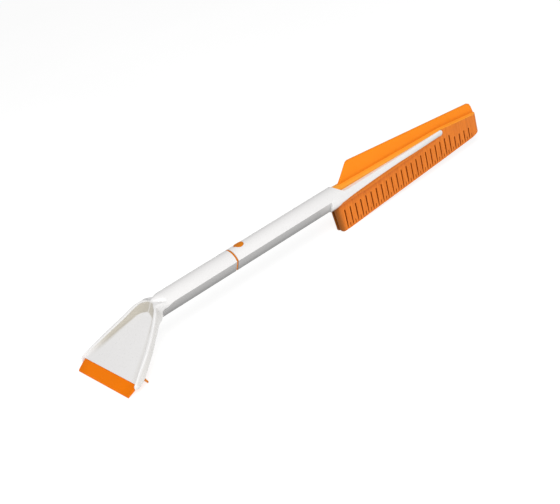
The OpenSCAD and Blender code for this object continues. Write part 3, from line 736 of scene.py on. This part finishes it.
def root_z(x):
    """Underside of the spine, then of the fin's foot, above the bristles."""
    if x < 347.5:
        return along(SPINE_LOW, x)
    if x < 351.9:
        return 0.3 - sqrt(max(0.0, 3.62 ** 2 - (x - 348.4) ** 2))
    return along([(352, 3.68), (419.1, -3.62)], x)


def block_half(x):
    """Half the block's thickness, with its end rounded in plan."""
    end = max(0.0, (x - 411.5) / 8.7)
    return 6.5 * sqrt(max(0.02, 1 - end ** 2.2))


def slit_cut(x, width, low, top):
    """Outline points of a slit that narrows to the tips: up one side, over its round end and down."""
    r = width / 2
    arc = [(x + r * cos(pi * i / 5), top - 1.8 * r + 1.8 * r * sin(pi * i / 5)) for i in range(6)]
    mid = mix(top, low, 0.55)
    foot = r * 0.5
    return [(x + foot, low), (x + r, mid)] + arc + [(x - r, mid), (x - foot, low)]


def bristle_outline(offset):
    """Side outline of one row: the root line on top, fingers and slits below, from right to left."""
    xs = (BLOCK_START, 158, 160, 164, 250, 347.5, 348.4, 349.4, 350.4, 351.2, 351.7, 351.95, 352.3,
          380, 400, 411.5, 414, 416.5, 418, 419.1)
    top = [(x, root_z(x)) for x in xs]
    low = [(419.35, -12), (419.7, -17), (419.7, -20), (419.3, -22.5), (418.9, -24.2), (418.2, -25.9),
           (417.2, -27.4), (415.9, -28.7), (414.5, -29.7), (412.8, -30.45)]
    cuts = []
    for x in [NEAR_SLIT_X + offset] + [SLIT_FIRST + SLIT_PITCH * i + offset for i in range(26)]:
        if 163 <= x < REACH - 10:
            cuts.append((x, FINGER_SLIT, slit_top(x)))
    for i in range(26):
        x = SLIT_FIRST + SLIT_PITCH * (i + 0.5) + offset
        if x < REACH - 6:
            cuts.append((x, TIP_SLIT, along(BLOCK_EDGE, x) + 7))
    for x, width, z in sorted(cuts, reverse=True):
        low += slit_cut(x, width, along(BLOCK_EDGE, x), z)
    low += [(163.5, BLOCK_LOW), (161.4, BLOCK_LOW + 0.4), (160, BLOCK_LOW + 1.2), (159.1, BLOCK_LOW + 2.6),
            (158.6, BLOCK_LOW + 4), (157.5, -28)]
    return top + low


def row_shade(p):
    """Shade at the near end of a row."""
    x, y, z = drawing(p)
    return 1 - ease(inset(x, z) / END_SHADE)


def mark_row_faces(bm, side):
    """Gives the slits' walls and the face turned towards the other row their own painted shade materials."""
    for f in bm.faces:
        x, y, z = drawing(f.calc_center_median())
        if abs(f.normal.y) < 0.5 and 158.6 < x < 417 and along(BLOCK_EDGE, x) + 2 < z < root_z(x) - 1:
            f.material_index = SLIT_SLOT
        elif side * f.normal.y < -0.7:
            f.material_index = INNER_FACE_SLOT


def bristle_row(name, side, offset, material, replaced):
    """A row of rubber fingers: cut from one outline, thinning towards the tips, edges rounded."""
    bm = bmesh.new()
    inner, outer = ROW_INNER, ROW_OUTER
    prism(bm, bristle_outline(offset), side * inner, side * outer, lambda x, z, y: Vector((x, y, z)))
    for k in range(1, 9):
        # Across the fingers, parallel to the line of their tips
        slice_by(bm, (172, 0, mix(-14, -44, k / 8)), (-0.06, 0, 1))
    for x in (412.5, 414, 415.5, 417, 418.2):
        slice_by(bm, (x, 0, 0), (1, 0, 0.04))
    for u in (0.25, 0.7, 1.3, 2.0, 2.9, 4.0, 6.0, 8.0, 10.0):
        slice_by(bm, (BLOCK_START + u, 0, BLOCK_START_Z), (1, 0, END_SLANT))
    for v in bm.verts:
        x, y, z = v.co
        low = along(BLOCK_EDGE, x)
        root = root_z(x) - 4
        k = min(max((root - z) / (root - low), 0.0), 1.0)
        half = min(mix(outer, outer - 0.9, k ** 1.5), block_half(x))
        round_end = inset(x, z) / 4
        if round_end < 1:
            half = mix(inner + 0.6, half, sqrt(max(0.0, 1 - (1 - max(round_end, 0)) ** 2)))
        near = mix(inner, inner + 0.5, k ** 1.5)
        share = (abs(y) - inner) / (outer - inner)
        y = side * mix(min(near, half - 0.3), half, share)
        v.co = place((x, y, z))
    bmesh.ops.recalc_face_normals(bm, faces=bm.faces)
    mark_row_faces(bm, side)
    o = new_piece(name, bm, material, "brush", replaced, 30)
    # Painted shade: dark slit walls and inner face, and a painted shade at the row's near end
    o.data.materials.append(SLIT)
    o.data.materials.append(INNER_FACE)
    paint_recess(o, row_shade)
    bevel(o, 0.32, 2, 35)


# How far the root laps up the spine's flank, as (x, height)
LAP = [(156.5, 0.4), (164, 3.8), (175, 4.6), (230, 4.6), (260, 4.0), (280, 3.2), (300, 2.1), (320, 1.3),
       (345, 0.4)]
LAP_LEVELS = (0.0, 0.2, 0.4, 0.6, 0.8, 1.0)
LAP_THICK = 0.35
LAP_SINK = 0.3


def lap_shade(p):
    """Shade at the near end of the lap and, more slightly, along its upper edge."""
    x, y, z = drawing(p)
    upper = 0.35 * ease((z - root_z(x)) / max(along(LAP, x), 0.5))
    return max(1 - ease((x - BLOCK_START) / END_SHADE), upper)


def root_lap(name, side, replaced):
    """The row's root lapping over the spine's lower edge, laid on the spine's flank."""
    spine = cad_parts["brush_upper_shell"]
    tree = BVHTree.FromPolygons([spine.matrix_world @ v.co for v in spine.data.vertices],
                                [tuple(f.vertices) for f in spine.data.polygons])

    def flank(x, z):
        hit = tree.ray_cast(place((x, side * 40, z)), Vector((0, -side, 0)))[0]
        return abs(hit.y) / MM if hit else 6.5

    bm = bmesh.new()
    sections = []
    for i in range(48):
        x = mix(157.5, 345, i / 47)
        root = root_z(x)
        high = along(LAP, x)
        levels = [root + 0.06 + high * k for k in LAP_LEVELS]
        skin = [(flank(x, z), z) for z in levels]
        outer = [(y + LAP_THICK * min(1.0, (1.02 - k) * 5), z) for k, (y, z) in zip(LAP_LEVELS, skin)]
        sunk = [(y - LAP_SINK, z) for y, z in reversed(skin)]
        ring = [(6.4, root - 0.6)] + outer + sunk + [(6.0, root - 0.6)]
        sections.append([place((x, side * y, z)) for y, z in ring])
    loft(bm, sections)
    o = new_piece(name, bm, BRISTLE, "brush", replaced, 30)
    paint_recess(o, lap_shade)


# ---- Squeegee fin and its foot ----

FIN_OUTLINE_TOP = [(171, 9.6), (174.2, 12.1), (182.3, 21.4), (190.4, 30.7), (192.6, 32.7), (196, 33.3),
                   (304.9, 23.2), (410.4, 13.4), (414.6, 11.3), (416.9, 7.1), (419.05, -1.9)]
NOSE_X = 175
NOSE_R = 12.4
RIDGE = [(158, 11.7), (168, 11.4), (352, 5.9), (419.1, -1.4)]


def ridge(x):
    return along(RIDGE, x)


def spine_top(x):
    """The shelf on the spine that the fin's foot stands on."""
    return mix(5.6, 3.9, max(x - NOSE_X, 0) / 172.5)


def fin_shade(p):
    """A slight shade where the fin rises out of its foot."""
    x, y, z = drawing(p)
    return 0.4 * (1 - ease((z - ridge(x) - 0.3) / 4))


def squeegee_fin():
    """Rubber fin, thick at its foot and thin at its lip."""
    bm = bmesh.new()
    xs = [171.3, 172.6, 174.2, 176.5, 179, 182.3, 186, 190.4, 191.5, 192.6, 194.2, 196, 200, 215, 235,
          255, 275, 304.9, 330, 352, 375, 395, 405, 410.4, 412.6, 414.6, 415.9, 416.9, 417.8, 418.6, 419.0]
    sections = []
    for x in xs:
        top = along(FIN_OUTLINE_TOP, x)
        low = ridge(x) - 1.6
        height = max(top - low, 0.4)
        levels = [0, 0.05, 0.1, 0.16, 0.24, 0.34, 0.5, 0.75, 0.93, 1.0]
        near = []
        for k in levels:
            flare = 0.6 * max(0.0, 1 - k * height / 3.2) ** 2
            half = mix(1.4, 0.95, k) + flare
            if k > 0.92:
                half = mix(half, 0.45, (k - 0.92) / 0.08)
            half = min(half, 0.5 * height + 0.3)
            near.append((half, low + height * k))
        ring = [(-y, z) for y, z in near] + [(y, z) for y, z in reversed(near)]
        sections.append([place((x, y, z)) for y, z in ring])
    loft(bm, sections)
    o = new_piece("squeegee_fin_blade", bm, SOFT, "brush", ["squeegee_fin"], 40)
    paint_recess(o, fin_shade)


def fin_foot():
    """Low roof along the spine with a round nose, running on over the bristle block."""
    bm = bmesh.new()

    def half(x):
        side = min(along([(NOSE_X, 12.2), (190, 11.8), (330, 7.9), (352, 6.5)], x), block_half(x))
        nose = sqrt(max(0.02, NOSE_R ** 2 - (x - NOSE_X) ** 2))
        return min(nose, side) if x < NOSE_X else side

    def low(x):
        drop = 0.9 * ease((x - 170) / 8) * (1 - ease((x - 335) / 12))
        return spine_top(x) + 0.02 - drop if x < 347 else along([(347, 3.93), (352, 3.7), (419.1, -3.6)], x)

    xs = [162.61, 162.7, 162.9, 163.2, 163.7, 164.3, 165, 166, 167, 168, 169, 170, 171, 171.9, 175, 180,
          190, 210, 230, 260, 290, 320, 340, 347, 350, 352, 353, 360, 380, 400, 411.5, 413.5, 415, 416.5,
          417.6, 418.5, 419.05]
    sections = []
    for x in xs:
        w = half(x)
        base = low(x)
        crown = ridge(x)
        if x < 165:
            crown = mix(base + 1.6, crown, sqrt(min(max(x - 162.55, 0) / 2.45, 1)))
        edge = max(crown - 0.28 * w, base + 0.45)
        r = min(1.1, w * 0.3, (edge - base) * 0.6)
        near = [(w - 0.1, base), (w, base + 0.15), (w, edge - r), (w - r * 0.08, edge - r * 0.55),
                (w - r * 0.3, edge - r * 0.22), (w - r * 0.62, edge - r * 0.02)]
        for k in (0.85, 0.6, 0.4, 0.25, 0.12, 0.0):
            y = (w - r) * k
            near.append((y, mix(crown, edge, (y / max(w, 0.1)) ** 1.1)))
        sections.append([place((x, y, z)) for y, z in mirrored(near)])
    loft(bm, sections)
    # The foot is the fin's own rubber, in a lighter copy that is painted light
    new_piece("fin_foot", bm, FOOT_PAINTED_LIGHT, "brush", ["squeegee_fin"], 40)


# ---- CAD nodes that keep their shape ----

def dress(node, material, width=0.0, segments=2):
    """Gives a node its material and, with a width, softened edges."""
    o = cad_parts[node]
    o.data.materials.clear()
    o.data.materials.append(material)
    if width:
        d = o.modifiers.new("flat_faces", "DECIMATE")
        d.decimate_type = "DISSOLVE"
        d.angle_limit = radians(1.0)
        bevel(o, width, segments)


dress("scraper_lower_shell", LOWER, 0.5, 3)
dress("brush_upper_shell", SPINE, 0.5, 3)
dress("brush_lower_shell", LOWER, 0.5, 3)
dress("coupling_spigot", PLASTIC, 0.25)
dress("release_button", PLASTIC, 0.5, 3)
dress("socket_sleeve", INNER)
dress("brush_core", INNER)
for name in ("comb_screws", "blade_rivets", "scraper_handle_screws", "latch_spring", "latch_rivet",
             "brush_handle_screws", "core_screws"):
    dress(name, STEEL, 0.2)

scraper_shell()
scraper_blade()
ice_breaker()
bristle_row("front_bristles", -1, 0.0, BRISTLE, ["front_bristle_comb"])
bristle_row("rear_bristles", 1, SLIT_PITCH / 2, BRISTLE, ["rear_bristle_comb"])
root_lap("front_bristle_root", -1, ["front_bristle_comb"])
root_lap("rear_bristle_root", 1, ["rear_bristle_comb"])
squeegee_fin()
fin_foot()


# ---- Camera, floor and light ----

FLOOR_HALF = 20
SKY_STRENGTH = 0.36
KEY_PLACE = (-0.85, -1.1, 1.55)
KEY_SIZE = 1.2
KEY_POWER = 33


def camera():
    """A camera at the photograph's viewing angle."""
    data = bpy.data.cameras.new("camera")
    o = bpy.data.objects.new("camera", data)
    bpy.context.scene.collection.objects.link(o)
    right = Vector((0.73039, -0.63831, -0.24309))
    up = Vector((0.46447, 0.20321, 0.86196))
    back = Vector((-0.50080, -0.74247, 0.44490))
    m = Matrix((right, up, back)).transposed().to_4x4()
    m.translation = place((-601.33, -990.59, 568.41))
    o.matrix_world = m
    data.sensor_width = 36
    data.lens = 73.71
    data.clip_start = 0.05
    data.clip_end = 50
    bpy.context.scene.camera = o


def floor():
    """A plain pale floor that glows a little, so that it stays near white."""
    me = bpy.data.meshes.new("floor")
    w = FLOOR_HALF
    me.from_pydata([(-w, -w, 0), (w, -w, 0), (w, w, 0), (-w, w, 0)], [], [(0, 1, 2, 3)])
    o = bpy.data.objects.new("floor", me)
    bpy.context.scene.collection.objects.link(o)
    m = Nodes("floor")
    m.into("Base Color", m.ramp(m.noise(3, 2), [(0.3, (0.29, 0.29, 0.29)), (0.7, (0.31, 0.31, 0.31))]))
    m.shader.inputs["Roughness"].default_value = 0.9
    m.shader.inputs["Specular IOR Level"].default_value = 0.1
    m.shader.inputs["Emission Color"].default_value = (1, 1, 1, 1)
    m.shader.inputs["Emission Strength"].default_value = 0.82
    me.materials.append(m.material)


def area(name, pos, size, power):
    """A square lamp that faces the middle of the tool."""
    d = bpy.data.lights.new(name, "AREA")
    d.size = size
    d.energy = power
    o = bpy.data.objects.new(name, d)
    bpy.context.scene.collection.objects.link(o)
    o.location = pos
    o.rotation_euler = (-Vector(pos)).to_track_quat("-Z", "Y").to_euler()


def light():
    """One soft key from the near side under an even sky."""
    world = bpy.data.worlds.new("world")
    bpy.context.scene.world = world
    world.use_nodes = True
    sky = world.node_tree.nodes["Background"]
    sky.inputs["Color"].default_value = (1, 1, 1, 1)
    sky.inputs["Strength"].default_value = SKY_STRENGTH
    area("key", KEY_PLACE, KEY_SIZE, KEY_POWER)
    bpy.context.scene.view_settings.view_transform = "Standard"


camera()
floor()
light()
